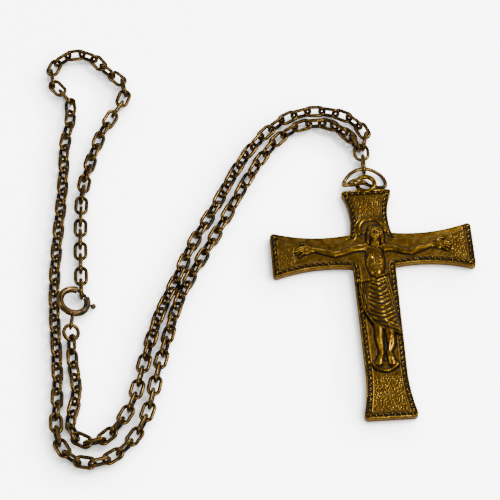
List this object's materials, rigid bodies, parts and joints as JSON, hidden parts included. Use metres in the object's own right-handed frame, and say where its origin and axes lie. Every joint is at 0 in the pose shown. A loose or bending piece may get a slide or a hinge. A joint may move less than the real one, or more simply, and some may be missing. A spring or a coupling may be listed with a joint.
{
  "type": "pectoral crucifix necklace",
  "caption": "Cast metal crucifix with a robed figure in relief, hung by a bent ring from a folded cable chain that closes with a spring ring clasp.",
  "frame": {"origin": "on the flat back of the cross, where the centre lines of the upright and of the arms meet", "axes": "+Z out of the face of the cross, +Y towards its head, +X towards the right arm as seen from the front"},
  "size_m": [0.1504, 0.1763, 0.0064],
  "materials": {
    "cast_brass": "cast relief, dark brown patina in the hollows, worn golden on the high places",
    "worn_brass": "rubbed, half bright",
    "chain_bronze": "dark antique bronze with golden edges",
    "clasp_brass": "drawn tube, half bright, light patina",
    "spring_steel": "plain spring wire"
  },
  "bodies": {
    "cross": {"cross_casting": "cast_brass"},
    "bail": {"bail_ring": "worn_brass"},
    "neck": {"neck_link": "worn_brass", "strand_joining_link": "worn_brass"},
    "chain_foot": {"chain_inner_foot_1": "chain_bronze", "chain_outer_foot_1": "chain_bronze", "chain_outer_foot_2": "chain_bronze"},
    "chain_arch": {"chain_inner_arch_1": "chain_bronze", "chain_inner_arch_2": "chain_bronze", "chain_outer_arch_1": "chain_bronze", "chain_outer_arch_2": "chain_bronze"},
    "chain_crown": {"chain_inner_crown_1": "chain_bronze", "chain_inner_crown_2": "chain_bronze", "chain_outer_crown_1": "chain_bronze", "chain_outer_crown_2": "chain_bronze"},
    "chain_upper": {"chain_inner_upper_1": "chain_bronze", "chain_inner_upper_2": "chain_bronze", "chain_outer_upper_1": "chain_bronze", "chain_outer_upper_2": "chain_bronze"},
    "chain_middle": {"chain_inner_middle_1": "chain_bronze", "chain_inner_middle_2": "chain_bronze", "chain_outer_middle_1": "chain_bronze", "chain_outer_middle_2": "chain_bronze"},
    "chain_lower": {"chain_inner_lower_1": "chain_bronze", "chain_inner_lower_2": "chain_bronze", "chain_inner_lower_3": "chain_bronze", "chain_outer_lower_1": "chain_bronze", "chain_outer_lower_2": "chain_bronze"},
    "chain_bend": {"chain_inner_bend_1": "chain_bronze", "chain_inner_bend_2": "chain_bronze", "chain_inner_bend_3": "chain_bronze", "chain_outer_bend_1": "chain_bronze", "chain_outer_bend_2": "chain_bronze", "chain_outer_bend_3": "chain_bronze"},
    "chain_column": {"chain_inner_column_1": "chain_bronze", "chain_inner_column_2": "chain_bronze", "chain_inner_column_3": "chain_bronze", "chain_outer_column_1": "chain_bronze", "chain_return_column_1": "chain_bronze", "clasp_jump_ring": "clasp_brass"},
    "chain_clasp": {"chain_inner_clasp_1": "chain_bronze", "chain_inner_clasp_2": "chain_bronze", "chain_return_clasp_1": "chain_bronze", "chain_return_clasp_2": "chain_bronze"},
    "chain_top": {"chain_return_top_1": "chain_bronze", "chain_return_top_2": "chain_bronze", "chain_return_top_3": "chain_bronze", "chain_return_top_4": "chain_bronze", "chain_return_top_5": "chain_bronze", "chain_return_top_6": "chain_bronze"},
    "clasp_body": {"clasp_tube": "clasp_brass", "clasp_fixed_loop": "clasp_brass", "clasp_spring": "spring_steel"},
    "clasp_catch": {"clasp_bolt": "clasp_brass", "clasp_thumb_knob": "clasp_brass"}
  },
  "joints": [
    {"name": "bail_swing", "type": "hinge", "parent": "cross", "child": "bail", "pos_m": [0, 0.0282, 0.00235], "axis": [1, 0, 0], "range_deg": [-12, 8]},
    {"name": "neck_fold", "type": "hinge", "parent": "bail", "child": "neck", "pos_m": [0.0006, 0.03465, 0.00258], "axis": [1, 0, 0], "range_deg": [-35, 50]},
    {"name": "chain_fold_foot", "type": "hinge", "parent": "neck", "child": "chain_foot", "pos_m": [0, 0.04434, 0.00258], "axis": [1, 0, 0], "range_deg": [-30, 28]},
    {"name": "chain_fold_arch", "type": "hinge", "parent": "chain_foot", "child": "chain_arch", "pos_m": [-0.0126, 0.0587, 0.00258], "axis": [0, -1, 0], "range_deg": [-30, 28]},
    {"name": "chain_fold_crown", "type": "hinge", "parent": "chain_arch", "child": "chain_crown", "pos_m": [-0.03675, 0.0457, 0.00252], "axis": [-0.7844, 0.6202, 0], "range_deg": [-30, 24]},
    {"name": "chain_fold_upper", "type": "hinge", "parent": "chain_crown", "child": "chain_upper", "pos_m": [-0.0534, 0.0178, 0.00203], "axis": [0.8793, -0.4763, 0], "range_deg": [-30, 28]},
    {"name": "chain_fold_middle", "type": "hinge", "parent": "chain_upper", "child": "chain_middle", "pos_m": [-0.06655, -0.00665, 0.00203], "axis": [-0.9317, -0.3632, 0], "range_deg": [-30, 18]},
    {"name": "chain_fold_lower", "type": "hinge", "parent": "chain_middle", "child": "chain_lower", "pos_m": [-0.0768, -0.03275, 0.00247], "axis": [0.9836, 0.1803, 0], "range_deg": [-30, 28]},
    {"name": "chain_fold_bend", "type": "hinge", "parent": "chain_lower", "child": "chain_bend", "pos_m": [-0.0926, -0.0704, 0.00258], "axis": [-0.2425, 0.9701, 0], "range_deg": [-30, 28]},
    {"name": "chain_fold_column", "type": "hinge", "parent": "chain_bend", "child": "chain_column", "pos_m": [-0.10885, -0.0396, 0.00203], "axis": [-1, 0, 0], "range_deg": [-30, 28]},
    {"name": "chain_fold_clasp", "type": "hinge", "parent": "chain_column", "child": "chain_clasp", "pos_m": [-0.10645, 0.0089, 0.00231], "axis": [0.9978, 0, 0.066], "range_deg": [-30, 28]},
    {"name": "chain_fold_top", "type": "hinge", "parent": "chain_clasp", "child": "chain_top", "pos_m": [-0.10215, 0.0466, 0.00203], "axis": [-1, 0, 0], "range_deg": [-30, 28]},
    {"name": "clasp_turn", "type": "hinge", "parent": "chain_column", "child": "clasp_body", "pos_m": [-0.10444, -0.01847, 0.00329], "axis": [0.2514, 0.9644, -0.0817], "range_deg": [0, 6]},
    {"name": "clasp_bolt_slide", "type": "hinge", "parent": "clasp_body", "child": "clasp_catch", "pos_m": [-0.1051, -0.0149, 0.0035], "axis": [-0.309, 0, -0.9511], "range_deg": [0, 56], "stiffness_Nm_per_rad": 0.004, "springref_deg": -17.19, "deforming": ["clasp_spring"]}
  ]
}
